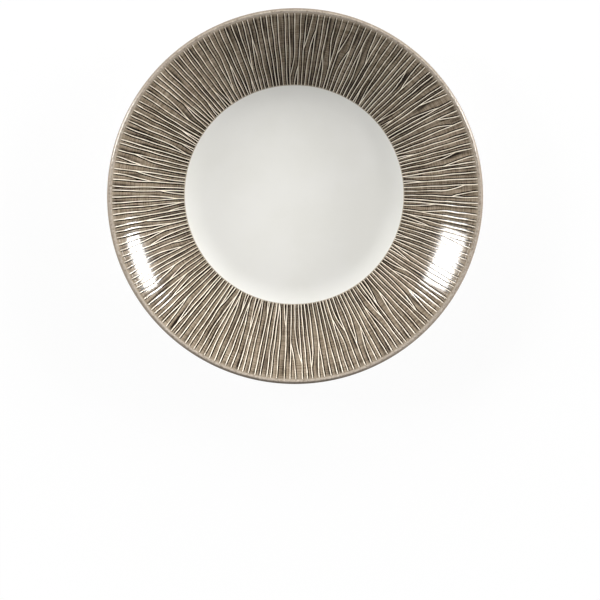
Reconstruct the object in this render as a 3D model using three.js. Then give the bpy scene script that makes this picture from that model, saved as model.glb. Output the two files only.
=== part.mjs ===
// Deep coupe plate in glazed stoneware: a clay body on a foot ring, a white well, a taupe band of
// raised radial ribs up the wall, a plain taupe lip, and white glaze outside and in the foot's recess.
// Millimetres, +Z up, origin on the table under the plate's centre.

import * as THREE from 'three';

// Overall form of the glazed plate
const PLATE_DIAMETER = 255;
const PLATE_HEIGHT = 36.8;
const WALL_THICKNESS = 4.6;

// Inside: a flat floor, a bend, and a wall that flares in one long curve to the lip
const FLOOR_DIAMETER = 124;
const BEND_RADIUS = 55;
const WALL_CURVE_RADIUS = 212;
const WELL_DIAMETER = 150;

// Foot ring, wiped bare of glaze up to a little above the table
const FOOT_DIAMETER = 146;
const FOOT_WIDTH = 6.4;
const FOOT_HEIGHT = 2.6;
const FOOT_EDGE_RADIUS = 0.6;
const FOOT_FILLET_RADIUS = 1.2;
const RECESS_FILLET_RADIUS = 0.8;
const BARE_FOOT_HEIGHT = 0.9;

// Coats and ribs
const GLAZE_THICKNESS = 0.3;
const RIB_COUNT = 192;
const RIB_WIDTH = 0.9;
const RIB_HEIGHT = 0.5;
const RIB_END_LENGTH = 0.7;

// How far ribs stray sideways, as a share of the free gap between two of them, and in how many waves
const RIB_SWAY = 0.75;
const RIB_WAVES = 0.8;
const SCATTER_STEP = 12.9898;
const SCATTER_SPREAD = 43758.5453;

// Facets: steps round the plate and along each stretch of its section, which get longer towards the lip
const TURN_STEPS = 64;
const COVE_STEPS = 2;
const BAND_STEPS = 4;
const LIP_INNER_STEPS = 1;
const LIP_OUTER_STEPS = 2;
const EDGE_STEPS = 1;
const OUTSIDE_STEPS = 4;
const FILLET_STEPS = 1;
const STEP_GROWTH = 1.35;

// A bend that is too wide for its wall is narrowed to this share of one sweep from floor to lip
const WIDEST_BEND = 0.95;

const CLAY = { color: 0xe4ddcf, roughness: 0.9, metalness: 0 };
const WHITE_GLAZE = { color: 0xf0eee8, roughness: 0.12, metalness: 0 };
const TAUPE_GLAZE = { color: 0x93877a, roughness: 0.22, metalness: 0 };

const FULL_TURN = 2 * Math.PI;
const QUARTER_TURN = Math.PI / 2;

const point = (radius, height) => new THREE.Vector2(radius, height);

// Inside surface: the lip is a half round on the wall's end, and the wall's curve is tangent to lip and bend
const lipRadius = WALL_THICKNESS / 2;
const lipCentre = point(PLATE_DIAMETER / 2 - lipRadius, PLATE_HEIGHT - lipRadius);
const floorRadius = FLOOR_DIAMETER / 2;
const floorTop = FOOT_HEIGHT + WALL_THICKNESS;
const wellRadius = WELL_DIAMETER / 2;

const run = lipCentre.x - floorRadius;
const rise = lipCentre.y - floorTop;
const sweepRadius = (run ** 2 + rise ** 2 - lipRadius ** 2) / (2 * (rise + lipRadius));
const bendRadius = Math.min(BEND_RADIUS, sweepRadius * WIDEST_BEND);
const bendCentre = point(floorRadius, floorTop + bendRadius);

const toLip = lipCentre.clone().sub(bendCentre);
const lipReach = toLip.length();
const bendToWall = WALL_CURVE_RADIUS - bendRadius;
const lipToWall = WALL_CURVE_RADIUS + lipRadius;
const cornerCosine = (bendToWall ** 2 + lipReach ** 2 - lipToWall ** 2) / (2 * bendToWall * lipReach);
const wallDirection = Math.atan2(toLip.y, toLip.x) + Math.acos(cornerCosine);
const wallCentre = point(
  bendCentre.x + bendToWall * Math.cos(wallDirection),
  bendCentre.y + bendToWall * Math.sin(wallDirection),
);
const bendSlope = wallDirection - QUARTER_TURN;
const lipSlope = Math.asin((lipCentre.x - wallCentre.x) / lipToWall);

// The curve that the inside surface follows at a radius, once it is sunk into the wall by a depth
function curveAt(radius, depth) {
  const reach = bendRadius + depth;
  if (radius <= floorRadius) {
    return { centre: point(radius, bendCentre.y), reach };
  }
  if (radius <= floorRadius + reach * Math.sin(bendSlope)) {
    return { centre: bendCentre, reach };
  }
  return { centre: wallCentre, reach: WALL_CURVE_RADIUS + depth };
}

// Height of that surface: the wall's full depth gives the outside, and a negative one stands proud
function surfaceHeight(radius, depth) {
  const { centre, reach } = curveAt(radius, depth);
  return centre.y - Math.sqrt(reach ** 2 - (radius - centre.x) ** 2);
}

const surfacePoint = (radius, depth) => point(radius, surfaceHeight(radius, depth));
const stepRadius = (from, to, share) => from + (to - from) * share ** STEP_GROWTH;

// Points of a stretch from a function of the share of its steps; one without steps is its first point
const stretch = (steps, pointAt) => (
  Array.from({ length: steps + 1 }, (_, step) => pointAt(step / Math.max(steps, 1)))
);

const arc = (centre, radius, from, to, steps) => stretch(steps, (share) => {
  const angle = THREE.MathUtils.lerp(from, to, share);
  return point(centre.x + radius * Math.cos(angle), centre.y + radius * Math.sin(angle));
});

const surface = (from, to, depth, steps) => stretch(steps, (share) => (
  surfacePoint(stepRadius(from, to, share), depth)
));

// Joins stretches end to end, leaving out each repeated joint
const joined = (...stretches) => stretches.reduce((line, next) => [...line, ...next.slice(1)]);

// The section's outline, stretch by stretch, from the middle of the well round to the middle of the base. An
// inset of zero is the glazed surface, and an inset of the glaze's thickness is the clay under it.
const lipStart = QUARTER_TURN + lipSlope;
const lipEnd = lipSlope - QUARTER_TURN;
const bandEndRadius = (inset) => lipCentre.x - (lipRadius - inset) * Math.sin(lipSlope);
const wallEndRadius = (inset) => lipCentre.x + (lipRadius - inset) * Math.sin(lipSlope);

const flatRadius = Math.min(floorRadius, wellRadius);
const flatLine = (inset) => [point(0, floorTop - inset), surfacePoint(flatRadius, inset)];
const coveSteps = wellRadius > flatRadius ? COVE_STEPS : 0;
const coveLine = (inset) => surface(flatRadius, wellRadius, inset, coveSteps);
const wellLine = (inset) => joined(flatLine(inset), coveLine(inset));
const bandLine = (inset) => surface(wellRadius, bandEndRadius(inset), inset, BAND_STEPS);
const lipLine = (inset) => joined(
  arc(lipCentre, lipRadius - inset, lipStart, QUARTER_TURN, LIP_INNER_STEPS),
  arc(lipCentre, lipRadius - inset, QUARTER_TURN, 0, LIP_OUTER_STEPS),
);
const edgeLine = (inset) => arc(lipCentre, lipRadius - inset, 0, lipEnd, EDGE_STEPS);

// Foot ring: its outer flank runs into the wall through a fillet
const footRadius = FOOT_DIAMETER / 2;
const filletDepth = WALL_THICKNESS + FOOT_FILLET_RADIUS;
const filletCentre = surfacePoint(footRadius + FOOT_FILLET_RADIUS, filletDepth);
const filletStart = curveAt(filletCentre.x, filletDepth).centre.clone().sub(filletCentre).angle();
const filletTopRadius = (inset) => filletCentre.x + (FOOT_FILLET_RADIUS + inset) * Math.cos(filletStart);
const recessRadius = footRadius - FOOT_WIDTH;
const recessFillet = point(recessRadius - RECESS_FILLET_RADIUS, FOOT_HEIGHT - RECESS_FILLET_RADIUS);

const outsideLine = (inset) => joined(
  surface(filletTopRadius(inset), wallEndRadius(inset), WALL_THICKNESS - inset, OUTSIDE_STEPS).reverse(),
  arc(filletCentre, FOOT_FILLET_RADIUS + inset, filletStart, Math.PI, FILLET_STEPS),
  [point(footRadius - inset, filletCentre.y), point(footRadius - inset, BARE_FOOT_HEIGHT)],
);
const footLine = (inset) => {
  const outerEdge = point(footRadius - inset - FOOT_EDGE_RADIUS, FOOT_EDGE_RADIUS);
  const innerEdge = point(recessRadius + inset + FOOT_EDGE_RADIUS, FOOT_EDGE_RADIUS);
  return [
    point(footRadius - inset, BARE_FOOT_HEIGHT),
    ...arc(outerEdge, FOOT_EDGE_RADIUS, 0, -QUARTER_TURN, FILLET_STEPS),
    ...arc(innerEdge, FOOT_EDGE_RADIUS, -QUARTER_TURN, -Math.PI, FILLET_STEPS),
    point(recessRadius + inset, BARE_FOOT_HEIGHT),
  ];
};
const recessLine = (inset) => joined(
  [point(recessRadius + inset, BARE_FOOT_HEIGHT), point(recessRadius + inset, recessFillet.y)],
  arc(recessFillet, RECESS_FILLET_RADIUS + inset, 0, QUARTER_TURN, FILLET_STEPS),
  [point(recessFillet.x, FOOT_HEIGHT + inset), point(0, FOOT_HEIGHT + inset)],
);

// A turned solid from a closed section that runs anticlockwise, with the radius to the right
function turned(section) {
  return new THREE.LatheGeometry(section, TURN_STEPS).rotateX(QUARTER_TURN);
}

// A coat between its glazed skin and the clay: one that meets the axis, or a ring that closes on itself
const discCoat = (line) => turned([...line(GLAZE_THICKNESS), ...line(0).reverse()]);
const ringCoat = (line) => {
  const back = line(GLAZE_THICKNESS);
  return turned([...back, ...line(0).reverse(), back[0]]);
};

function plateBody() {
  const inset = GLAZE_THICKNESS;
  const outline = joined(
    wellLine(inset),
    bandLine(inset),
    lipLine(inset),
    edgeLine(inset),
    outsideLine(inset),
    footLine(inset),
    recessLine(inset),
  );
  return turned(outline.reverse());
}

const wellGlaze = () => discCoat(wellLine);
const lipBand = () => ringCoat(lipLine);
const outerGlaze = () => ringCoat((inset) => joined(edgeLine(inset), outsideLine(inset)));

function baseGlaze() {
  return turned([...recessLine(0).reverse(), ...recessLine(GLAZE_THICKNESS)]);
}

// A repeatable value from 0 to 1 for each rib, from the far digits of a sine
function scatter(rib) {
  const digits = Math.sin((rib + 1) * SCATTER_STEP) * SCATTER_SPREAD;
  return digits - Math.floor(digits);
}

// Where a rib's crest lies round the plate: ribs lean to and from their neighbours, and never touch
function ribTurn(rib, share, radius) {
  const pitch = FULL_TURN / RIB_COUNT;
  const freeTurn = pitch - RIB_WIDTH / radius;
  const sway = Math.sin(FULL_TURN * (scatter(rib) + RIB_WAVES * share));
  return pitch * rib + freeTurn * RIB_SWAY * sway / 2;
}

// One ring of points across all ribs: each rib has its two feet and its crest
function ribRing(share) {
  const radius = stepRadius(wellRadius + RIB_END_LENGTH, bandEndRadius(0) - RIB_END_LENGTH, share);
  const halfTurn = RIB_WIDTH / 2 / radius;
  const ribs = Array.from({ length: RIB_COUNT }, (_, rib) => {
    const crest = ribTurn(rib, share, radius);
    return [
      { turn: crest - halfTurn, radius, height: surfaceHeight(radius, 0) },
      { turn: crest, radius, height: surfaceHeight(radius, -RIB_HEIGHT) },
      { turn: crest + halfTurn, radius, height: surfaceHeight(radius, 0) },
    ];
  });
  return ribs.flat();
}

// One plain ring of points, which meets the neighbouring coats and the clay
const plainRing = ({ x: radius, y: height }) => Array.from({ length: TURN_STEPS }, (_, step) => (
  { turn: step * FULL_TURN / TURN_STEPS, radius, height }
));

// Knits two neighbouring rings of any counts into triangles, stepping on along the ring that lags behind
function knit(first, second, indices) {
  const at = ({ start, turns }, step) => start + step % turns.length;
  const laps = ({ turns }, step) => Math.floor(step / turns.length);
  const turnAt = (ring, step) => ring.turns[step % ring.turns.length] + FULL_TURN * laps(ring, step);
  let i = 0;
  let j = 0;
  while (i < first.turns.length || j < second.turns.length) {
    const stepFirst = j === second.turns.length
      || (i < first.turns.length && turnAt(first, i + 1) <= turnAt(second, j + 1));
    const next = stepFirst ? at(first, i + 1) : at(second, j + 1);
    indices.push(at(first, i), at(second, j), next);
    i += stepFirst ? 1 : 0;
    j += stepFirst ? 0 : 1;
  }
}

// The band's skin runs over the ribs from well to lip, and its back lies on the clay
function reededBand() {
  const skin = bandLine(0);
  const back = bandLine(GLAZE_THICKNESS).reverse();
  const loop = [
    plainRing(skin[0]),
    ...stretch(BAND_STEPS, ribRing),
    plainRing(skin[BAND_STEPS]),
    ...back.map(plainRing),
  ];

  const positions = [];
  const rings = loop.map((ring) => {
    const start = positions.length / 3;
    for (const { turn, radius, height } of ring) {
      positions.push(radius * Math.sin(turn), -radius * Math.cos(turn), height);
    }
    return { start, turns: ring.map(({ turn }) => turn) };
  });
  const indices = [];
  rings.forEach((ring, index) => knit(ring, rings[(index + 1) % rings.length], indices));

  const geometry = new THREE.BufferGeometry();
  geometry.setAttribute('position', new THREE.Float32BufferAttribute(positions, 3));
  geometry.setIndex(indices);
  geometry.computeVertexNormals();
  return geometry;
}

// The plate, from the clay outwards
const plate = new THREE.Group();

function addPiece(name, geometry, finish) {
  const piece = new THREE.Mesh(geometry, new THREE.MeshStandardMaterial(finish));
  piece.name = name;
  plate.add(piece);
}

addPiece('plate_body', plateBody(), CLAY);
addPiece('well_glaze', wellGlaze(), WHITE_GLAZE);
addPiece('reeded_band', reededBand(), TAUPE_GLAZE);
addPiece('lip_band', lipBand(), TAUPE_GLAZE);
addPiece('outer_glaze', outerGlaze(), WHITE_GLAZE);
addPiece('base_glaze', baseGlaze(), WHITE_GLAZE);

export default plate;
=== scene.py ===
"""Dresses the deep coupe plate: a white well, a taupe band of raised radial ribs, a plain taupe lip
and a white outside on a bare clay foot. Metres, +Z up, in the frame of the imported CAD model."""

import logging
import math
from abc import ABC, abstractmethod
from collections.abc import Callable
from dataclasses import dataclass, field
from enum import Enum
from typing import ClassVar, Union

import bpy
import numpy as np
from mathutils import Matrix, Vector


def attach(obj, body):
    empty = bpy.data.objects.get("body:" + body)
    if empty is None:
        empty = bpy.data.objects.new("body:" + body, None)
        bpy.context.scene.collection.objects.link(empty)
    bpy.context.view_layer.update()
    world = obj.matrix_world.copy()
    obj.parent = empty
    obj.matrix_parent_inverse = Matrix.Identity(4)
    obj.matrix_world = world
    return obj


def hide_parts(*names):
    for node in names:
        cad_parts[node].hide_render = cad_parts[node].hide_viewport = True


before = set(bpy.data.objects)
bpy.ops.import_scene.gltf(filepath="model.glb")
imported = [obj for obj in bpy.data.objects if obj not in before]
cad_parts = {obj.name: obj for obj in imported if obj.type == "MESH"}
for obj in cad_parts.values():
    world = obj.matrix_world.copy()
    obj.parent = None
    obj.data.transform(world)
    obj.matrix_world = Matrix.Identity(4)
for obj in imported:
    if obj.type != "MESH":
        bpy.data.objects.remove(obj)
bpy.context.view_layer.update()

LOG = logging.getLogger("deep_coupe_plate")
MM = 0.001
WELD = 1e-6
NOISE_MEAN = 0.5
COARSE = 1.0
FINE = 3.0
BODY = "root"

Point = tuple[float, float]
Triple = tuple[float, float, float]
Colour = Triple
Scale = Union[float, Triple]
Place = tuple["Flow", "Flow", "Flow"]
Number = Union["Flow", float]
Anything = Union["Flow", float, tuple[float, ...]]


def paint_colour(*channels: int) -> Colour:
    """Turns a screen colour, with channels up to 255, into the linear one that shaders take."""
    shares = (channel / 255 for channel in channels)
    return tuple(s / 12.92 if s <= 0.04045 else ((s + 0.055) / 1.055) ** 2.4 for s in shares)


class Slot(Enum):
    """The record's material slots."""

    CLAY = "bare_clay"
    WHITE = "white_glaze"
    TAUPE = "taupe_glaze"


class Flow:
    """A shader socket on which Python arithmetic adds Math nodes."""

    def __init__(self, graph: "Graph", socket: bpy.types.NodeSocket | None) -> None:
        """Wraps one output socket of a graph's node."""
        self.graph = graph
        self.socket = socket

    def __add__(self, other: Number) -> "Flow":
        """Adds a value."""
        return self.graph.math("ADD", self, other)

    def __sub__(self, other: Number) -> "Flow":
        """Takes a value away."""
        return self.graph.math("SUBTRACT", self, other)

    def __rsub__(self, other: Number) -> "Flow":
        """Takes this away from a value."""
        return self.graph.math("SUBTRACT", other, self)

    def __mul__(self, other: Number) -> "Flow":
        """Multiplies by a value."""
        return self.graph.math("MULTIPLY", self, other)

    def __truediv__(self, other: Number) -> "Flow":
        """Divides by a value."""
        return self.graph.math("DIVIDE", self, other)

    def __pow__(self, other: Number) -> "Flow":
        """Raises to a power."""
        return self.graph.math("POWER", self, other)

    __radd__ = __add__
    __rmul__ = __mul__


class Graph:
    """Adds nodes to one shader tree."""

    def __init__(self, tree: bpy.types.NodeTree) -> None:
        """Starts from an empty tree."""
        self.tree = tree
        tree.nodes.clear()

    def node(self, kind: str, inputs: dict, output: int | str = 0, **settings: str | bool) -> Flow:
        """Adds a node.

        Args:
            kind: The node's type, after "ShaderNode".
            inputs: Values or links by socket name or number.
            output: The output that is handed on.
            settings: The node's own settings, set before its sockets.

        Returns:
            That output, or an empty flow after a closing node.
        """
        made = self.tree.nodes.new("ShaderNode" + kind)
        for name, value in settings.items():
            setattr(made, name, value)
        for key, value in inputs.items():
            self.feed(made.inputs[key], value)
        return Flow(self, made.outputs[output] if made.outputs else None)

    def feed(self, socket: bpy.types.NodeSocket, value: Anything) -> None:
        """Links a flow to a socket, or sets the socket's own value.

        Args:
            socket: The socket to feed.
            value: A flow, a number, a vector or a colour.
        """
        if isinstance(value, Flow):
            self.tree.links.new(value.socket, socket)
        elif socket.type == "RGBA":
            socket.default_value = (*value, 1.0)
        else:
            socket.default_value = value

    def math(self, operation: str, first: Number, second: Number = 0.0) -> Flow:
        """Adds a Math node."""
        return self.node("Math", {0: first, 1: second}, operation=operation)

    def blend(self, share: Number, first: Anything, second: Anything) -> Flow:
        """Mixes two colours, by the share of the second."""
        inputs = {0: share, 6: first, 7: second}
        return self.node("Mix", inputs, 2, data_type="RGBA", clamp_factor=True)

    def rise(self, value: Number, low: float, high: float) -> Flow:
        """Adds a smooth step, from zero at the low value to one at the high one."""
        inputs = {0: value, 1: low, 2: high}
        return self.node("MapRange", inputs, interpolation_type="SMOOTHSTEP")

    def attribute(self, name: str) -> Flow:
        """Reads one of the mesh's own values."""
        return self.node("Attribute", {}, "Fac", attribute_name=name)

    def place(self) -> Place:
        """Reads the place on the object.

        Returns:
            Its x, y and z.
        """
        split = self.node("SeparateXYZ", {0: self.node("TexCoord", {}, "Object")})
        outputs = split.socket.node.outputs
        return tuple(Flow(self, outputs[axis]) for axis in range(3))

    def noise(self, place: Place, scale: Scale, detail: float = 2.0, rough: float = 0.5) -> Flow:
        """Adds a noise.

        Args:
            place: The three coordinates that it follows.
            scale: The noise's steps per unit, for all coordinates or for each.
            detail: How many finer layers it has.
            rough: How strong the finer layers are.

        Returns:
            A value about one half.
        """
        scales = scale if isinstance(scale, tuple) else (scale,) * len(place)
        steps = (axis * size for axis, size in zip(place, scales))
        vector = self.node("CombineXYZ", dict(enumerate(steps)))
        inputs = {"Vector": vector, "Scale": 1.0, "Detail": detail, "Roughness": rough}
        return self.node("TexNoise", inputs)

    def bump(self, height: Flow, strength: float, depth: float) -> Flow:
        """Turns a height into a bent normal; a height of one stands for the depth, in metres."""
        inputs = {"Height": height, "Strength": strength, "Distance": depth}
        return self.node("Bump", inputs)

    def rays(self, *kinds: str) -> tuple[Flow, ...]:
        """Gives, for each kind of ray, one where such a ray has come and zero elsewhere."""
        outputs = self.node("LightPath", {}).socket.node.outputs
        return tuple(Flow(self, outputs[f"Is {kind} Ray"]) for kind in kinds)

    def show(self, kind: str, shader: Flow) -> None:
        """Ends the tree with an output node of a kind, which shows the shader."""
        self.node("Output" + kind, {"Surface": shader})


@dataclass(frozen=True)
class Coat:
    """What changes over a surface: its colour, roughness and normal."""

    colour: Flow
    roughness: Flow
    normal: Flow


@dataclass(frozen=True)
class Finish(ABC):
    """A fired surface."""

    name: ClassVar[str]
    index: ClassVar[float] = 1.55

    @abstractmethod
    def paint(self, graph: Graph) -> Coat:
        """Paints the surface in a graph, and gives what changes over it."""

    def material(self) -> bpy.types.Material:
        """Makes the material.

        Returns:
            The material.
        """
        made = bpy.data.materials.new(self.name)
        made.use_nodes = True
        graph = Graph(made.node_tree)
        coat = self.paint(graph)
        inputs = {"Base Color": coat.colour, "Roughness": coat.roughness, "Normal": coat.normal}
        graph.show("Material", graph.node("BsdfPrincipled", {**inputs, "IOR": self.index}))
        return made


@dataclass(frozen=True)
class WhiteGlaze(Finish):
    """Glossy white glaze, faintly cloudy, with a trace of orange peel, thin and cream under the lip."""

    name = "white_glaze"
    thick: Colour = paint_colour(236, 235, 230)
    thin: Colour = paint_colour(233, 232, 226)
    cream: Colour = paint_colour(241, 235, 222)
    lip_height: float = 34.5 * MM
    cream_depth: float = 1.2 * MM
    cloud_scale: Scale = 28.0
    cloud_range: Point = (0.35, 0.7)
    ring_scale: Scale = (6.0, 6.0, 900.0)
    ring_share: float = 0.0
    peel_scale: Scale = 420.0
    peel_strength: float = 0.05
    peel_depth: float = 0.1 * MM
    gloss: float = 0.07
    cloud_gloss: float = 0.06

    def paint(self, graph: Graph) -> Coat:
        """Paints the glaze.

        Args:
            graph: The graph to paint in.

        Returns:
            What changes over the glaze.
        """
        place = graph.place()
        clouds = graph.noise(place, self.cloud_scale, FINE)
        rings = graph.noise(place, self.ring_scale)
        peel = graph.noise(place, self.peel_scale, COARSE)
        colour = graph.blend(graph.rise(clouds, *self.cloud_range), self.thick, self.thin)
        height = place[2] + clouds * self.cream_depth
        edge = graph.rise(height, self.lip_height - self.cream_depth, self.lip_height)
        colour = graph.blend(edge, colour, self.cream)
        roughness = self.gloss + clouds * self.cloud_gloss
        relief = peel + rings * self.ring_share
        return Coat(colour, roughness, graph.bump(relief, self.peel_strength, self.peel_depth))


@dataclass(frozen=True)
class OuterGlaze(WhiteGlaze):
    """The white glaze of the outside, with faint rings from the wheel."""

    name = "white_glaze_outside"
    cloud_scale: Scale = (28.0, 28.0, 60.0)
    ring_share: float = 0.7
    gloss: float = 0.08


@dataclass(frozen=True)
class TaupeGlaze(Finish):
    """Taupe glaze on the ribs: cream where it breaks over a crest, dark where it pools beside one, with
    a fainter dark line on a crest's other side.
    """

    name = "taupe_glaze_ribs"
    ground: Colour = paint_colour(152, 138, 120)
    shade: Colour = paint_colour(106, 93, 76)
    crest: Colour = paint_colour(254, 243, 225)
    faint_crest: Colour = paint_colour(214, 200, 179)
    # Cream of the ribs' ends near the lip: partly crest colour, partly a painted highlight.
    rib_end_highlight: Colour = paint_colour(244, 236, 222)
    pool: Colour = paint_colour(28, 20, 13)
    margin: Colour = paint_colour(176, 163, 144)
    rim: Colour = paint_colour(206, 197, 178)
    mottle_scale: Scale = 180.0
    patch_scale: Scale = 45.0
    streak_scale: Scale = (420.0, 420.0, 60.0)
    streak_rough: float = 0.6
    streak_share: float = 0.55
    ring_scale: Scale = (9.0, 9.0, 1600.0)
    run_scale: Scale = (38.0, 38.0, 40.0)
    linen_range: Point = (0.4, 0.6)
    fleck_range: Point = (0.5, 0.85)
    fleck_cover: float = 0.5
    run_in_pool: float = 1.1
    patch_in_pool: float = 0.2
    pool_range: Point = (0.18, 0.54)
    pool_cover: float = 0.97
    mottle_on_crest: float = 0.3
    run_on_crest: float = 0.25
    bare_range: Point = (0.4, 0.8)
    mottle_in_patch: float = 0.4
    bright_range: Point = (0.42, 0.7)
    end_highlight_range: Point = (122.8 * MM, 123.6 * MM)
    rim_range: Point = (75.2 * MM, 76.2 * MM)
    rim_ragged: float = 0.5 * MM
    rim_cover: float = 0.8
    margin_range: Point = (122.9 * MM, 126.4 * MM)
    margin_ragged: float = 2.0 * MM
    margin_cover: float = 0.6
    gloss: float = 0.06
    patch_gloss: float = 0.05
    bare_gloss: float = 0.06
    run_strength: float = 0.12
    run_depth: float = 0.2 * MM

    def paint(self, graph: Graph) -> Coat:
        """Paints the glaze.

        Args:
            graph: The graph to paint in.

        Returns:
            What changes over the glaze.
        """
        place = graph.place()
        x, y, _ = place
        radius = (x * x + y * y) ** 0.5
        polar = (x / radius, y / radius, radius)
        crest = graph.attribute("rib_crest")
        pool = graph.attribute("rib_pool")

        mottle = graph.noise(place, self.mottle_scale)
        patches = graph.noise(place, self.patch_scale)
        streaks = graph.noise(polar, self.streak_scale, rough=self.streak_rough)
        rings = graph.noise(polar, self.ring_scale, COARSE)
        runs = graph.noise(polar, self.run_scale)
        linen = streaks * self.streak_share + rings * (1 - self.streak_share)

        colour = graph.blend(graph.rise(linen, *self.linen_range), self.shade, self.ground)
        flecks = graph.rise(mottle, *self.fleck_range) * self.fleck_cover
        colour = graph.blend(flecks, colour, self.margin)

        damp = pool + (runs - NOISE_MEAN) * self.run_in_pool
        damp = damp + (patches - NOISE_MEAN) * self.patch_in_pool
        wet = graph.rise(damp, *self.pool_range)
        colour = graph.blend(wet * self.pool_cover, colour, self.pool)

        worn = crest + mottle * self.mottle_on_crest - runs * self.run_on_crest
        bare = graph.rise(worn, *self.bare_range)
        bright = graph.rise(patches + mottle * self.mottle_in_patch, *self.bright_range)
        ridge = graph.blend(bright, self.faint_crest, self.crest)
        # Painted highlight, partly crest colour: the ribs' ends near the lip turn an even bright cream.
        end = graph.rise(radius, *self.end_highlight_range)
        colour = graph.blend(bare, colour, graph.blend(end, ridge, self.rib_end_highlight))

        start = 1 - graph.rise(radius + mottle * self.rim_ragged, *self.rim_range)
        colour = graph.blend(start * self.rim_cover, colour, self.rim)
        stop = graph.rise(radius + mottle * self.margin_ragged, *self.margin_range)
        colour = graph.blend(stop * (1 - bare) * self.margin_cover, colour, self.margin)

        roughness = self.gloss + patches * self.patch_gloss + bare * self.bare_gloss
        return Coat(colour, roughness, graph.bump(runs, self.run_strength, self.run_depth))


@dataclass(frozen=True)
class LipGlaze(Finish):
    """Plain taupe glaze of the lip: speckled, with painted shade on its outer edge, and worn to white
    at its foot.
    """

    name = "taupe_glaze_lip"
    crown: Colour = paint_colour(169, 158, 145)
    speck: Colour = paint_colour(134, 122, 108)
    light_speck: Colour = paint_colour(196, 185, 171)
    # Painted shade: the colour that darkens the lip's outer edge.
    edge: Colour = paint_colour(134, 123, 110)
    thin: Colour = paint_colour(238, 234, 224)
    speck_scale: Scale = 620.0
    speck_rough: float = 0.6
    speck_range: Point = (0.5, 0.72)
    light_range: Point = (0.56, 0.74)
    patch_scale: Scale = 120.0
    painted_shade_range: Point = (126.2 * MM, 127.2 * MM)
    painted_shade_ragged: float = 0.6 * MM
    painted_shade_cover: float = 0.85
    thin_height: float = 34.6 * MM
    thin_width: float = 0.3 * MM
    thin_ragged: float = 0.3 * MM
    gloss: float = 0.12
    patch_gloss: float = 0.08
    speck_strength: float = 0.06
    speck_depth: float = 0.1 * MM

    def paint(self, graph: Graph) -> Coat:
        """Paints the glaze.

        Args:
            graph: The graph to paint in.

        Returns:
            What changes over the glaze.
        """
        place = graph.place()
        x, y, z = place
        radius = (x * x + y * y) ** 0.5
        specks = graph.noise(place, self.speck_scale, rough=self.speck_rough)
        patches = graph.noise(place, self.patch_scale)
        colour = graph.blend(graph.rise(specks, *self.speck_range), self.crown, self.speck)
        colour = graph.blend(graph.rise(1 - specks, *self.light_range), colour, self.light_speck)
        # Painted shade: the lip's outer edge, from about 126 mm out, is darkened all round.
        outer = graph.rise(radius + patches * self.painted_shade_ragged, *self.painted_shade_range)
        colour = graph.blend(outer * self.painted_shade_cover, colour, self.edge)
        worn = graph.rise(self.thin_height - z + patches * self.thin_ragged, 0.0, self.thin_width)
        colour = graph.blend(worn, colour, self.thin)
        roughness = self.gloss + patches * self.patch_gloss
        return Coat(colour, roughness, graph.bump(specks, self.speck_strength, self.speck_depth))


@dataclass(frozen=True)
class BareClay(Finish):
    """Fired clay that was wiped clean of glaze: matt, sandy and faintly speckled."""

    name = "bare_clay"
    body: Colour = paint_colour(226, 217, 201)
    worn: Colour = paint_colour(203, 192, 174)
    grit: Colour = paint_colour(150, 134, 114)
    cloud_scale: Scale = 70.0
    worn_range: Point = (0.4, 0.68)
    sand_scale: Scale = 1500.0
    sand_rough: float = 0.6
    grit_range: Point = (0.64, 0.75)
    grit_cover: float = 0.7
    matt: float = 0.78
    sand_matt: float = 0.2
    sand_strength: float = 0.35
    sand_depth: float = 0.15 * MM

    def paint(self, graph: Graph) -> Coat:
        """Paints the clay.

        Args:
            graph: The graph to paint in.

        Returns:
            What changes over the clay.
        """
        place = graph.place()
        clouds = graph.noise(place, self.cloud_scale, FINE)
        sand = graph.noise(place, self.sand_scale, rough=self.sand_rough)
        colour = graph.blend(graph.rise(clouds, *self.worn_range), self.body, self.worn)
        grains = graph.rise(sand, *self.grit_range) * self.grit_cover
        colour = graph.blend(grains, colour, self.grit)
        roughness = self.matt + sand * self.sand_matt
        return Coat(colour, roughness, graph.bump(sand, self.sand_strength, self.sand_depth))


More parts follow.
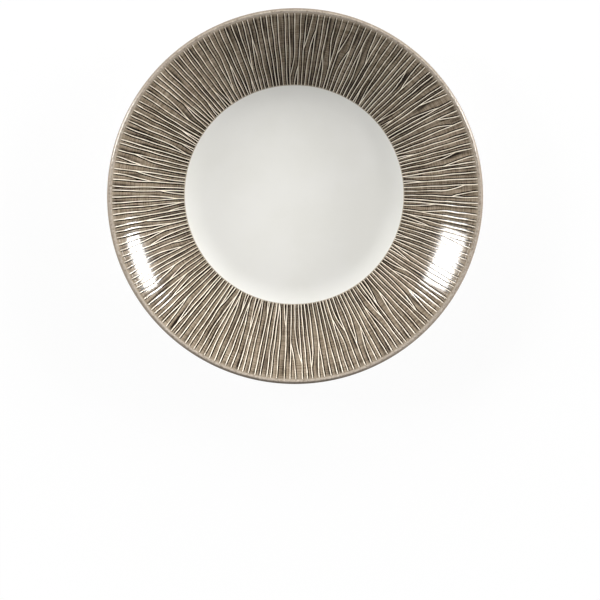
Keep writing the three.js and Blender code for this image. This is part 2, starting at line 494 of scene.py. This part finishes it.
@dataclass(frozen=True)
class PlateSection:
    """The plate's section: radius and height of each stretch, in metres, sunk by an inset."""

    diameter: float = 255 * MM
    height: float = 36.8 * MM
    wall: float = 4.6 * MM
    floor_radius: float = 62 * MM
    bend: float = 55 * MM
    flare: float = 212 * MM
    well_radius: float = 75 * MM
    foot_radius: float = 73 * MM
    foot_width: float = 6.4 * MM
    foot_height: float = 2.6 * MM
    foot_edge: float = 0.6 * MM
    foot_fillet: float = 1.2 * MM
    recess_fillet: float = 0.8 * MM
    bare_height: float = 0.9 * MM
    glaze: float = 0.3 * MM
    lip_ridge: float = 0.9 * MM
    lip_bevel: float = 0.9 * MM
    lip_corner: float = 0.8 * MM
    bevel_slope: float = math.radians(32.0)
    band_radius: float = 124.4 * MM
    crown_start: float = 122.9 * MM
    flat_start: float = 15.5 * MM
    flat_steps: int = 6
    bend_steps: int = 10
    crown_steps: int = 4
    ridge_steps: int = 8
    corner_steps: int = 6
    under_steps: int = 10
    wall_steps: int = 36
    fillet_steps: int = 8
    foot_steps: int = 6
    recess_rings: tuple[float, ...] = (0.75, 0.5, 0.25, 0.0)

    @property
    def lip_radius(self) -> float:
        """Half the wall: the round below the lip's widest point."""
        return self.wall / 2

    @property
    def lip_centre(self) -> Vector:
        """The middle of the round below the lip's widest point."""
        return Vector((self.diameter / 2 - self.lip_radius, self.height - self.lip_radius))

    @property
    def floor_top(self) -> float:
        """The height of the well's flat floor."""
        return self.foot_height + self.wall

    @property
    def bend_centre(self) -> Vector:
        """The middle of the bend between floor and wall."""
        return Vector((self.floor_radius, self.floor_top + self.bend))

    @property
    def wall_direction(self) -> float:
        """The direction from the bend's middle to the wall curve's middle."""
        to_lip = self.lip_centre - self.bend_centre
        near = self.flare - self.bend
        far = self.flare + self.lip_radius
        cosine = (near**2 + to_lip.length_squared - far**2) / (2 * near * to_lip.length)
        return math.atan2(to_lip.y, to_lip.x) + math.acos(cosine)

    @property
    def wall_centre(self) -> Vector:
        """The middle of the wall's long curve."""
        turn = self.wall_direction
        return self.bend_centre + (self.flare - self.bend) * Vector((math.cos(turn), math.sin(turn)))

    @property
    def bend_slope(self) -> float:
        """The slope at which the bend runs into the wall."""
        return self.wall_direction - math.pi / 2

    @property
    def lip_slope(self) -> float:
        """The slope at which the wall runs into the lip."""
        return math.asin((self.lip_centre.x - self.wall_centre.x) / (self.flare + self.lip_radius))

    def curve(self, radius: float, depth: float) -> tuple[Vector, float]:
        """Finds the curve that the inside follows.

        Args:
            radius: The distance from the plate's axis.
            depth: How far it is sunk into the wall.

        Returns:
            The curve's middle and its radius.
        """
        reach = self.bend + depth
        if radius <= self.floor_radius:
            return Vector((radius, self.bend_centre.y)), reach
        if radius <= self.floor_radius + reach * math.sin(self.bend_slope):
            return self.bend_centre, reach
        return self.wall_centre, self.flare + depth

    def surface(self, radius: float, depth: float) -> Point:
        """Finds a point of the inside surface.

        Args:
            radius: The distance from the plate's axis.
            depth: How far it is sunk into the wall; the wall's thickness gives the outside.

        Returns:
            Its radius and height.
        """
        centre, reach = self.curve(radius, depth)
        height = centre.y - math.sqrt(reach**2 - (radius - centre.x) ** 2)
        crowned = depth < self.wall and radius > self.well_radius
        return radius, min(height, self.crown(radius, depth)) if crowned else height

    @property
    def crown_slope(self) -> float:
        """The slope of the lip's crown, which leans inwards and touches the round of the ridge."""
        centre, reach = self.curve(self.crown_start, 0.0)
        drop = math.sqrt(reach**2 - (self.crown_start - centre.x) ** 2)
        toward = self.ridge_centre - Vector((self.crown_start, centre.y - drop))
        return math.atan2(toward.y, toward.x) + math.asin(self.lip_ridge / toward.length)

    @property
    def ridge_centre(self) -> Vector:
        """The middle of the round between the lip's crown and the bevel outside it."""
        bevel_end = self.corner_centre.x + self.lip_corner * math.sin(self.bevel_slope)
        reach = bevel_end - self.lip_bevel - self.lip_ridge * math.sin(self.bevel_slope)
        return Vector((reach, self.height - self.lip_ridge))

    @property
    def corner_centre(self) -> Vector:
        """The middle of the round between the lip's bevel and its widest point."""
        drop = self.lip_bevel * math.tan(self.bevel_slope)
        rounds = (self.lip_ridge - self.lip_corner) * math.cos(self.bevel_slope)
        height = self.height - self.lip_ridge + rounds - drop
        return Vector((self.diameter / 2 - self.lip_corner, height))

    def crown(self, radius: float, depth: float) -> float:
        """Finds the height of the lip's crown.

        Args:
            radius: The distance from the plate's axis.
            depth: How far it is sunk into the wall.

        Returns:
            The height.
        """
        slope = self.crown_slope
        rise = (radius - self.ridge_centre.x) * math.tan(slope)
        return self.ridge_centre.y + rise + (self.lip_ridge - depth) / math.cos(slope)

    def slope(self, radius: float) -> float:
        """Finds the slope of the inside surface.

        Args:
            radius: The distance from the plate's axis.

        Returns:
            The slope, in radians.
        """
        if radius > self.crown_start:
            return self.crown_slope
        centre, reach = self.curve(radius, 0.0)
        return math.asin((radius - centre.x) / reach)

    def run(self, start: float, stop: float, depth: float, steps: int) -> list[Point]:
        """Follows the inside surface from one radius to another, sunk by a depth."""
        return [self.surface(float(radius), depth) for radius in np.linspace(start, stop, steps + 1)]

    @staticmethod
    def arc(centre: Vector, radius: float, start: float, stop: float, steps: int) -> list[Point]:
        """Follows an arc from one angle to another."""
        turns = np.linspace(start, stop, steps + 1)
        return [(centre.x + radius * math.cos(t), centre.y + radius * math.sin(t)) for t in turns]

    def wall_end(self, inset: float) -> float:
        """Where the lip runs into the wall's outside."""
        return self.lip_centre.x + (self.lip_radius - inset) * math.sin(self.lip_slope)

    def well_line(self, inset: float) -> list[Point]:
        """Draws the well, from the plate's axis outwards.

        Args:
            inset: How far it is sunk.

        Returns:
            The points.
        """
        flat = self.run(self.flat_start, self.floor_radius, inset, self.flat_steps)
        bend = self.run(self.floor_radius, self.well_radius, inset, self.bend_steps)
        return [(0.0, self.floor_top - inset), *flat, *bend[1:]]

    def lip_line(self, inset: float) -> list[Point]:
        """Draws the lip, from the band over the crown to its widest point.

        Args:
            inset: How far it is sunk.

        Returns:
            The points.
        """
        start = math.pi / 2 + self.crown_slope
        bevel = math.pi / 2 - self.bevel_slope
        ridge = self.arc(self.ridge_centre, self.lip_ridge - inset, start, bevel, self.ridge_steps)
        corner = self.arc(self.corner_centre, self.lip_corner - inset, bevel, 0.0, self.corner_steps)
        crown = self.run(self.band_radius, ridge[0][0], inset, self.crown_steps)
        return [*crown[:-1], *ridge, *corner, (self.diameter / 2 - inset, self.lip_centre.y)]

    def outside_line(self, inset: float) -> list[Point]:
        """Draws the outside, from the lip's widest point down to the bare foot.

        Args:
            inset: How far it is sunk.

        Returns:
            The points.
        """
        stop = self.lip_slope - math.pi / 2
        under = self.arc(self.lip_centre, self.lip_radius - inset, 0.0, stop, self.under_steps)
        depth = self.wall + self.foot_fillet
        centre = Vector(self.surface(self.foot_radius + self.foot_fillet, depth))
        toward = self.curve(centre.x, depth)[0] - centre
        start = math.atan2(toward.y, toward.x)
        fillet = self.arc(centre, self.foot_fillet + inset, start, math.pi, self.fillet_steps)
        wall = self.run(self.wall_end(inset), fillet[0][0], self.wall - inset, self.wall_steps)
        return [*under, *wall[1:], *fillet[1:], (self.foot_radius - inset, self.bare_height)]

    def foot_line(self, inset: float) -> list[Point]:
        """Draws the bare foot, from its outer flank to its inner one.

        Args:
            inset: How far it is sunk.

        Returns:
            The points.
        """
        outer = Vector((self.foot_radius - inset - self.foot_edge, self.foot_edge))
        inner = Vector((self.foot_radius - self.foot_width + inset + self.foot_edge, self.foot_edge))
        down = -math.pi / 2
        return [
            *self.arc(outer, self.foot_edge, 0.0, down, self.foot_steps),
            *self.arc(inner, self.foot_edge, down, -math.pi, self.foot_steps),
        ]

    def recess_line(self, inset: float) -> list[Point]:
        """Draws the foot's recess, from its bare flank to the plate's axis.

        Args:
            inset: How far it is sunk.

        Returns:
            The points.
        """
        flank = self.foot_radius - self.foot_width
        centre = Vector((flank - self.recess_fillet, self.foot_height - self.recess_fillet))
        fillet = self.arc(centre, self.recess_fillet + inset, 0.0, math.pi / 2, self.fillet_steps)
        middle = [(share * centre.x, self.foot_height + inset) for share in self.recess_rings]
        return [(flank + inset, self.bare_height), *fillet, *middle]


class Wheel:
    """Turns sections into meshes, as on a potter's wheel."""

    @staticmethod
    def close(reach: float) -> None:
        """Welds the piece in hand, turns its faces outwards and leaves edit mode.

        Args:
            reach: How far apart points are welded.
        """
        bpy.ops.mesh.select_all(action="SELECT")
        bpy.ops.mesh.remove_doubles(threshold=reach)
        bpy.ops.mesh.normals_make_consistent(inside=False)
        bpy.ops.object.mode_set(mode="OBJECT")

    @staticmethod
    def pull(name: str, section: list[Point], steps: int) -> bpy.types.Object:
        """Pulls a section up from one ring, ring by ring.

        Args:
            name: The piece's name.
            section: The radius and height of each ring.
            steps: How many steps a full turn has.

        Returns:
            The piece.
        """
        bpy.ops.object.select_all(action="DESELECT")
        bpy.ops.mesh.primitive_circle_add(vertices=steps, radius=section[0][0], location=(0, 0, 0))
        piece = bpy.context.object
        piece.name = piece.data.name = name
        bpy.ops.object.mode_set(mode="EDIT")
        bpy.ops.mesh.select_all(action="SELECT")
        bpy.ops.transform.translate(value=(0, 0, section[0][1]))
        for (r0, z0), (r1, z1) in zip(section, section[1:]):
            bpy.ops.mesh.extrude_edges_move(TRANSFORM_OT_translate={"value": (0, 0, z1 - z0)})
            bpy.ops.transform.resize(value=(r1 / r0, r1 / r0, 1), center_override=(0, 0, 0))
        Wheel.close(WELD)
        return piece

    @staticmethod
    def spin(name: str, section: list[Point], steps: int) -> bpy.types.Object:
        """Draws a section point by point and spins it about the plate's axis.

        Args:
            name: The piece's name.
            section: The radius and height of each point.
            steps: How many steps a full turn has.

        Returns:
            The piece.
        """
        radius, height = section[0]
        bpy.ops.object.select_all(action="DESELECT")
        bpy.ops.mesh.primitive_plane_add(size=MM, location=(0, 0, 0))
        piece = bpy.context.object
        piece.name = piece.data.name = name
        bpy.ops.object.mode_set(mode="EDIT")
        bpy.ops.mesh.select_all(action="SELECT")
        bpy.ops.mesh.merge(type="CENTER")
        bpy.ops.transform.translate(value=(radius, 0, height))
        for (r0, z0), (r1, z1) in zip(section, section[1:]):
            bpy.ops.mesh.extrude_vertices_move(TRANSFORM_OT_translate={"value": (r1 - r0, 0, z1 - z0)})
        bpy.ops.mesh.select_all(action="SELECT")
        bpy.ops.mesh.remove_doubles(threshold=WELD / 10)
        bpy.ops.mesh.spin(steps=steps, angle=2 * math.pi, center=(0, 0, 0), axis=(0, 0, 1))
        Wheel.close(WELD)
        return piece


@dataclass
class TurnedPiece(ABC):
    """A turned piece of the plate."""

    section: PlateSection
    name: ClassVar[str]
    node: ClassVar[str]
    slot: ClassVar[Slot]
    finish: ClassVar[type[Finish]]
    steps: int = 256
    sharp: float = math.radians(50)
    mesh: bpy.types.Object = field(init=False)

    @abstractmethod
    def outline(self) -> list[Point]:
        """Draws the piece's section."""

    def build(self) -> None:
        """Turns the piece."""
        self.mesh = Wheel.spin(self.name, self.outline(), self.steps)

    def pick(self) -> None:
        """Takes the piece in hand."""
        bpy.ops.object.select_all(action="DESELECT")
        self.mesh.select_set(True)
        bpy.context.view_layer.objects.active = self.mesh

    def dress(self) -> None:
        """Gives the piece its smooth shading, finish and body, and hides the CAD node that it replaces.
        """
        self.pick()
        bpy.ops.object.shade_smooth_by_angle(angle=self.sharp)
        self.mesh.data.materials.append(self.finish().material())
        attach(self.mesh, BODY)
        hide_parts(self.node)


@dataclass
class ClayBody(TurnedPiece):
    """The clay under the coats, bare only on the foot ring."""

    name = "turned_clay"
    node = "plate_body"
    slot = Slot.CLAY
    finish = BareClay
    band_steps: int = 24

    def outline(self) -> list[Point]:
        """Draws the whole clay body.

        Returns:
            The points.
        """
        section, inset = self.section, self.section.glaze
        band = section.run(section.well_radius, section.crown_start, inset, self.band_steps)
        inside = [*section.well_line(inset), *band[1:], *section.lip_line(inset)]
        below = [*section.foot_line(inset), *section.recess_line(inset)]
        return [*inside, *section.outside_line(inset)[1:], *below]


@dataclass
class GlazeCoat(TurnedPiece):
    """A coat on one stretch of the section, which is drawn as a function of the inset."""

    stretch: ClassVar[Callable[[PlateSection, float], list[Point]]]

    def outline(self) -> list[Point]:
        """Closes the coat's skin with its back on the clay.

        Returns:
            The points.
        """
        stretch = type(self).stretch
        skin = stretch(self.section, 0.0)
        back = stretch(self.section, self.section.glaze)[::-1]
        closing = [] if skin[0][0] == 0.0 or skin[-1][0] == 0.0 else [skin[0]]
        return [*skin, *back, *closing]


class WhiteWell(GlazeCoat):
    """The white glaze on the well's floor."""

    name = "white_well"
    node = "well_glaze"
    slot = Slot.WHITE
    finish = WhiteGlaze
    stretch = PlateSection.well_line


class TaupeLip(GlazeCoat):
    """The plain taupe glaze over the lip."""

    name = "taupe_lip"
    node = "lip_band"
    slot = Slot.TAUPE
    finish = LipGlaze
    stretch = PlateSection.lip_line


class WhiteOutside(GlazeCoat):
    """The white glaze from under the lip to the foot."""

    name = "white_outside"
    node = "outer_glaze"
    slot = Slot.WHITE
    finish = OuterGlaze
    stretch = PlateSection.outside_line


class WhiteBase(GlazeCoat):
    """The white glaze in the foot's recess."""

    name = "white_base"
    node = "base_glaze"
    slot = Slot.WHITE
    finish = WhiteGlaze
    stretch = PlateSection.recess_line


@dataclass(frozen=True)
class RibLayout:
    """Where the ribs run. Some split and some join, so that as many reach the lip as leave the well."""

    ribs: int = 192
    fork_pairs: int = 50
    fork_room: int = 3
    seed: int = 41
    uneven: float = 0.16
    sway: float = 0.06
    sway_waves: Point = (0.8, 2.2)
    tremor: float = 0.03
    tremor_waves: Point = (3.0, 7.0)
    fork_spots: Point = (0.16, 0.9)
    fork_lengths: Point = (0.32, 0.65)
    fork_overlaps: Point = (0.2, 0.7)
    fork_bow: float = 0.85

    def part(self, way: np.ndarray) -> np.ndarray:
        """Finds the gap between a fork's arms, in ribs, at shares of the way along them."""
        return np.sin(np.clip(way, 0, 1) * math.pi / 2) ** self.fork_bow

    def rib(self, shares: np.ndarray, rng: np.random.Generator) -> np.ndarray:
        """Draws one rib as a hand would, off its place by a little and not quite straight.

        Args:
            shares: Each ring's share of the way from the well to the lip.
            rng: The source of the layout.

        Returns:
            How far the rib is off its place on each ring, in ribs.
        """
        line = np.full_like(shares, rng.uniform(-self.uneven, self.uneven))
        for reach, waves in ((self.sway, self.sway_waves), (self.tremor, self.tremor_waves)):
            line += reach * np.cos(math.pi * shares * rng.uniform(*waves) + rng.uniform(0, 2 * math.pi))
        return line

    def fork_pair(self, shares: np.ndarray, rng: np.random.Generator) -> tuple[np.ndarray, ...]:
        """Draws two ribs with a strand beside each: one joins its rib, the other parts from its own.

        Args:
            shares: Each ring's share of the way from the well to the lip.
            rng: The source of the layout.

        Returns:
            The place of each of the four strands on each ring, in ribs.
        """
        spot = rng.uniform(*self.fork_spots)
        length = rng.uniform(*self.fork_lengths)
        inward = self.part((spot - shares) / length)
        outward = self.part((shares - spot) / length + rng.uniform(*self.fork_overlaps))
        first, second = (inward, outward) if rng.random() < 0.5 else (outward, inward)
        left = self.rib(shares, rng)
        right = self.rib(shares, rng) + self.fork_room - 1
        return left, left + first, right - second, right

    def lines(self, shares: np.ndarray) -> np.ndarray:
        """Draws every strand, ring by ring.

        Args:
            shares: Each ring's share of the way from the well to the lip.

        Returns:
            The place of each strand on each ring, in ribs round the plate; strands of one rib coincide.
        """
        rng = np.random.default_rng(self.seed)
        singles = self.ribs - self.fork_room * self.fork_pairs
        strands = []
        place = 0
        for forked in rng.permutation([True] * self.fork_pairs + [False] * singles):
            group = self.fork_pair(shares, rng) if forked else (self.rib(shares, rng),)
            strands += [place + strand for strand in group]
            place += self.fork_room if forked else 1
        return np.maximum.accumulate(np.array(strands).T, axis=1)


@dataclass
class ReededBand(TurnedPiece):
    """The taupe band with its raised ribs."""

    name = "reeded_taupe_band"
    node = "reeded_band"
    slot = Slot.TAUPE
    finish = TaupeGlaze
    layout: RibLayout = RibLayout()
    rib_height: float = 0.05 * MM
    rib_half_width: float = 0.5 * MM
    rib_foot: float = 0.72 * MM
    pool_offset: float = 0.74 * MM
    pool_half_width: float = 0.7 * MM
    far_dark_line: float = 0.42
    end_length: float = 0.5 * MM
    end_slope: float = 2.0 * MM
    end_rings: tuple[float, ...] = (0.0, 0.4, 1.0)
    crease: float = 0.06 * MM
    crease_rings: tuple[int, ...] = (-2, -1, 1, 2)
    crease_room: int = 4
    rings: int = 38
    back_steps: tuple[int, ...] = (1, 3, 2)
    fork_weld: float = 2 * WELD
    after: tuple[float, ...] = (0.25 * MM, 0.55 * MM, 0.72 * MM, 0.95 * MM, 1.3 * MM)
    after_shares: tuple[float, ...] = (0.1, 0.2, 0.28, 0.38, 0.52)
    before: tuple[float, ...] = (0.8 * MM, 0.55 * MM, 0.25 * MM)
    before_shares: tuple[float, ...] = (0.32, 0.2, 0.1)
    sharp: float = math.radians(85)

    def radii(self) -> np.ndarray:
        """Spaces the rings, closely where the ribs end.

        Returns:
            The rings' radii on the skin.
        """
        start, stop = self.section.well_radius, self.section.band_radius
        ends = np.array(self.end_rings) * self.end_length
        middle = np.linspace(start + ends[-1], stop - ends[-1], self.rings)
        crease = self.section.crown_start + np.array(self.crease_rings) * self.crease
        away = np.abs(middle - self.section.crown_start)
        middle = middle[away > self.crease_room * self.crease]
        middle = np.sort(np.concatenate((middle, crease)))
        return np.concatenate((start + ends[:-1], middle, (stop - ends[:-1])[::-1]))

    def outline(self) -> list[Point]:
        """Draws the coat without its ribs.

        Returns:
            The points.
        """
        section, glaze = self.section, self.section.glaze
        skin = [section.surface(float(radius), 0.0) for radius in self.radii()]
        bend_end = section.floor_radius + section.bend * math.sin(section.bend_slope)
        stops = (section.band_radius, section.crown_start, bend_end, section.well_radius)
        back = [section.surface(section.band_radius, glaze)]
        for start, stop, steps in zip(stops, stops[1:], self.back_steps):
            back += section.run(start, stop, glaze, steps)[1:]
        return [*skin, *back, skin[0]]

    def build(self) -> None:
        """Turns the band and raises its ribs."""
        section = self.section
        radii = self.radii()
        shares = (radii - radii[0]) / (radii[-1] - radii[0])
        lines = self.layout.lines(shares)
        per_strand = 1 + len(self.after) + len(self.before)
        self.steps = lines.shape[1] * per_strand
        self.mesh = Wheel.pull(self.name, self.outline(), self.steps)

        mesh = self.mesh.data
        co = np.empty(len(mesh.vertices) * 3)
        mesh.vertices.foreach_get("co", co)
        co = co.reshape(-1, 3)
        reach = np.hypot(co[:, 0], co[:, 1])
        turn = np.arctan2(-co[:, 0], co[:, 1]) / (2 * math.pi)
        column = np.rint(turn * self.steps).astype(int) % self.steps
        ring = np.abs(reach[:, None] - radii[None, :]).argmin(1)
        heights = np.array([section.surface(float(radius), 0.0)[1] for radius in radii])
        skin = np.abs(co[:, 2] - heights[ring]) < section.glaze / 4

        turns, crest, pool, relief = self.columns(lines, radii)
        angle = turns[ring, column]
        ends = np.minimum(radii - radii[0], radii[-1] - radii) / self.end_slope
        crown = self.rib_height * np.sin(np.clip(ends, 0, 1) * math.pi / 2)
        rise = np.where(skin, crown[ring] * relief[ring, column], 0.0)
        slopes = np.array([section.slope(float(radius)) for radius in radii])[ring]
        reach = reach - rise * np.sin(slopes)
        co[:, 0] = reach * np.cos(angle)
        co[:, 1] = reach * np.sin(angle)
        co[:, 2] += rise * np.cos(slopes)
        mesh.vertices.foreach_set("co", co.ravel())
        for name, values in (("rib_crest", crest), ("rib_pool", pool)):
            shown = np.where(skin, values[ring, column], 0.0).astype(np.float32)
            mesh.attributes.new(name, "FLOAT", "POINT").data.foreach_set("value", shown)
        mesh.update()
        self.close_forks()

    @staticmethod
    def bell(distance: np.ndarray, half_width: float) -> np.ndarray:
        """Makes a smooth hump: one in the middle, falling to zero at the half width."""
        return np.cos(np.clip(np.abs(distance) / half_width, 0, 1) * math.pi) / 2 + 0.5

    def columns(self, lines: np.ndarray, radii: np.ndarray) -> tuple[np.ndarray, ...]:
        """Spreads the mesh's columns between the strands.

        Args:
            lines: The place of each strand on each ring, in ribs round the plate.
            radii: The rings' radii.

        Returns:
            For each column on each ring its turn, its shares of a crest and a pool, and its relief.
        """
        pitch = 2 * math.pi / self.layout.ribs
        gaps = np.diff(lines, axis=1, append=lines[:, :1] + self.layout.ribs) * pitch * radii[:, None]
        after = zip(self.after, self.after_shares)
        before = zip(self.before, self.before_shares)
        offsets = [np.zeros_like(gaps)]
        offsets += [np.minimum(size, share * gaps) for size, share in after]
        offsets += [gaps - np.minimum(size, share * gaps) for size, share in before]
        along = np.stack(offsets, axis=2)
        turns = lines[:, :, None] * pitch + along / radii[:, None, None]
        behind, ahead = along, gaps[:, :, None] - along

        ends = np.minimum(radii - radii[0], radii[-1] - radii) / self.end_length
        fade = np.clip(ends, 0, 1)[:, None, None]
        crest, relief = (
            np.maximum(self.bell(behind, reach), self.bell(ahead, reach))
            for reach in (self.rib_half_width, self.rib_foot)
        )
        crest = crest * fade
        near = self.bell(behind - self.pool_offset, self.pool_half_width)
        # A fainter dark line on each crest's other side, carried by the same pool share.
        far = self.bell(ahead - self.pool_offset, self.pool_half_width) * self.far_dark_line
        pool = np.maximum(near, far) * fade * (1 - crest)
        return tuple(values.reshape(len(radii), -1) for values in (turns, crest, pool, relief))

    def close_forks(self) -> None:
        """Welds the strands of one rib together."""
        self.pick()
        bpy.ops.object.mode_set(mode="EDIT")
        Wheel.close(self.fork_weld)


@dataclass(frozen=True)
class Softbox:
    """A flat lamp that looks at the plate."""

    name: str
    azimuth: float
    elevation: float
    distance: float
    width: float
    height: float
    radiance: float
    mirrored: bool = True
    flagged: bool = False

    def place(self, target: Vector, shaded: bpy.types.Collection) -> None:
        """Sets the lamp up.

        Args:
            target: The point it looks at.
            shaded: The pieces that a flagged lamp is kept off.
        """
        flat, up = math.radians(self.azimuth), math.radians(self.elevation)
        toward = Vector((math.cos(flat) * math.cos(up), math.sin(flat) * math.cos(up), math.sin(up)))
        bpy.ops.object.select_all(action="DESELECT")
        bpy.ops.object.light_add(type="AREA", location=target + toward * self.distance)
        lamp = bpy.context.object
        lamp.name = self.name
        lamp.rotation_euler = (-toward).to_track_quat("-Z", "Y").to_euler()
        lamp.data.shape = "RECTANGLE"
        lamp.data.size = self.width
        lamp.data.size_y = self.height
        lamp.data.energy = self.radiance * math.pi * self.width * self.height
        lamp.visible_camera = False
        lamp.visible_glossy = self.mirrored
        if self.flagged:
            lamp.light_linking.receiver_collection = shaded


@dataclass(frozen=True)
class Fill(Softbox):
    """A broad, low lamp that the glaze doesn't mirror, flagged off the white outside."""

    mirrored: bool = False
    flagged: bool = True


@dataclass(frozen=True)
class Studio:
    """A white room with two side softboxes, four low fills, and a camera above the plate."""

    rim_height: float = 34.5 * MM
    rim_radius: float = 127.5 * MM
    picture: float = 600.0
    plate_x: float = 295.4
    plate_y: float = 196.9
    plate_radius: float = 188.0
    camera_distance: float = 2.2
    lean_north: float = math.radians(3.0)
    lean_west: float = math.radians(1.7)
    sensor: float = 36.0
    floor_size: float = 16.0
    floor_white: Colour = (0.86, 0.86, 0.855)
    floor_glow: float = 0.92
    floor_fade: float = 3.0
    white: Colour = (1.0, 1.0, 1.0)
    ambient: float = 0.035
    wall: float = 0.15
    ceiling: float = 0.12
    wall_range: Point = (0.1, 0.6)
    clip: Point = (0.01, 100.0)
    shaded: tuple[str, ...] = (WhiteOutside.name, WhiteBase.name, ClayBody.name)
    lamps: tuple[Softbox, ...] = (
        Softbox("east_softbox", 19.5, 25.05, 1.5, 0.44, 0.128, 47.0),
        Softbox("west_softbox", 160.5, 29.8, 1.5, 0.49, 0.25, 30.0),
        Fill("east_fill", 5.0, 11.0, 2.2, 1.4, 0.5, 29.0),
        Fill("northeast_fill", 45.0, 18.0, 2.2, 1.4, 0.7, 7.2),
        Fill("northwest_fill", 115.0, 22.0, 2.2, 1.4, 0.7, 9.2),
        Fill("west_fill", 175.0, 14.0, 2.2, 1.4, 0.5, 16.5),
    )

    def build(self) -> None:
        """Sets up the room, lamps and camera."""
        scene = bpy.context.scene
        scene.view_settings.view_transform = "Standard"
        self.room()
        self.floor()
        shaded = self.shade()
        for lamp in self.lamps:
            lamp.place(Vector((0, 0, self.rim_height / 2)), shaded)
        self.camera()

    def shade(self) -> bpy.types.Collection:
        """Lists the pieces that the fills are flagged off, so that the white outside isn't burnt out.

        Returns:
            A collection whose pieces are left out of a lamp's light.
        """
        shaded = bpy.data.collections.new("flagged_off")
        for name in self.shaded:
            shaded.objects.link(bpy.data.objects[name])
        for entry in shaded.collection_objects:
            entry.light_linking.link_state = "EXCLUDE"
        return shaded

    def room(self) -> None:
        """Makes the world: white to the camera, and a soft fill on the plate."""
        world = bpy.data.worlds.new("white_room")
        bpy.context.scene.world = world
        world.use_nodes = True
        graph = Graph(world.node_tree)
        camera, glossy, through = graph.rays("Camera", "Glossy", "Transmission")
        direction = graph.node("TexCoord", {}, "Generated")
        up = graph.node("SeparateXYZ", {0: direction}, 2)
        level = 1 - graph.rise(up, *self.wall_range)
        wall = self.ceiling + (self.wall - self.ceiling) * level
        seen = graph.math("MAXIMUM", camera, through)
        plain = 1 - graph.math("MAXIMUM", seen, glossy)
        strength = seen + glossy * (1 - seen) * wall + plain * self.ambient
        inputs = {"Color": self.white, "Strength": strength}
        graph.show("World", graph.node("Background", inputs))

    def floor(self) -> None:
        """Lays a white floor, with a soft shadow near the plate, that runs out into the white room."""
        bpy.ops.object.select_all(action="DESELECT")
        bpy.ops.mesh.primitive_plane_add(size=self.floor_size, location=(0, 0, 0))
        floor = bpy.context.object
        floor.name = "studio_floor"
        made = bpy.data.materials.new("studio_floor")
        made.use_nodes = True
        graph = Graph(made.node_tree)
        x, y, _ = graph.place()
        reach = (x * x + y * y) ** 0.5
        far = graph.rise(reach, self.rim_radius, self.floor_fade * self.rim_radius)
        camera, glossy, through = graph.rays("Camera", "Glossy", "Transmission")
        seen = graph.math("MAXIMUM", camera, graph.math("MAXIMUM", glossy, through))
        matt = graph.node("BsdfDiffuse", {"Color": self.floor_white})
        white = graph.node("Emission", {"Color": self.white, "Strength": 1.0})
        share = (self.floor_glow + far * (1 - self.floor_glow)) * seen
        graph.show("Material", graph.node("MixShader", {0: share, 1: matt, 2: white}))
        floor.data.materials.append(made)

    def camera(self) -> None:
        """Places the camera above the plate, so that the rim falls where the picture has it."""
        rim = Vector((0, 0, self.rim_height))
        toward = Vector((-math.tan(self.lean_west), math.tan(self.lean_north), 1)).normalized()
        place = rim + toward * self.camera_distance
        north = Vector((0, 1, 0))
        right = (-toward).cross(north).normalized()
        up = right.cross(-toward)
        size = self.rim_radius / self.plate_radius
        middle = self.picture / 2
        aim = rim + right * (middle - self.plate_x) * size - up * (middle - self.plate_y) * size
        forward = (aim - place).normalized()
        right = forward.cross(north).normalized()
        up = right.cross(forward)
        bpy.ops.object.select_all(action="DESELECT")
        bpy.ops.object.camera_add()
        camera = bpy.context.object
        camera.name = "camera_above"
        turn = Matrix((right, up, -forward)).transposed().to_4x4()
        camera.matrix_world = Matrix.Translation(place) @ turn
        camera.data.sensor_width = self.sensor
        camera.data.lens = self.camera_distance / size / self.picture * self.sensor
        camera.data.clip_start, camera.data.clip_end = self.clip
        bpy.context.scene.camera = camera


def main() -> None:
    """Builds and dresses the plate, piece by piece, and sets up the studio."""
    logging.basicConfig(level=logging.INFO, format="%(name)s: %(message)s")
    section = PlateSection()
    for kind in (ClayBody, WhiteWell, ReededBand, TaupeLip, WhiteOutside, WhiteBase):
        piece = kind(section)
        piece.build()
        piece.dress()
        LOG.info("%s: %d faces", piece.name, len(piece.mesh.data.polygons))
    Studio().build()


if __name__ == "__main__":
    main()
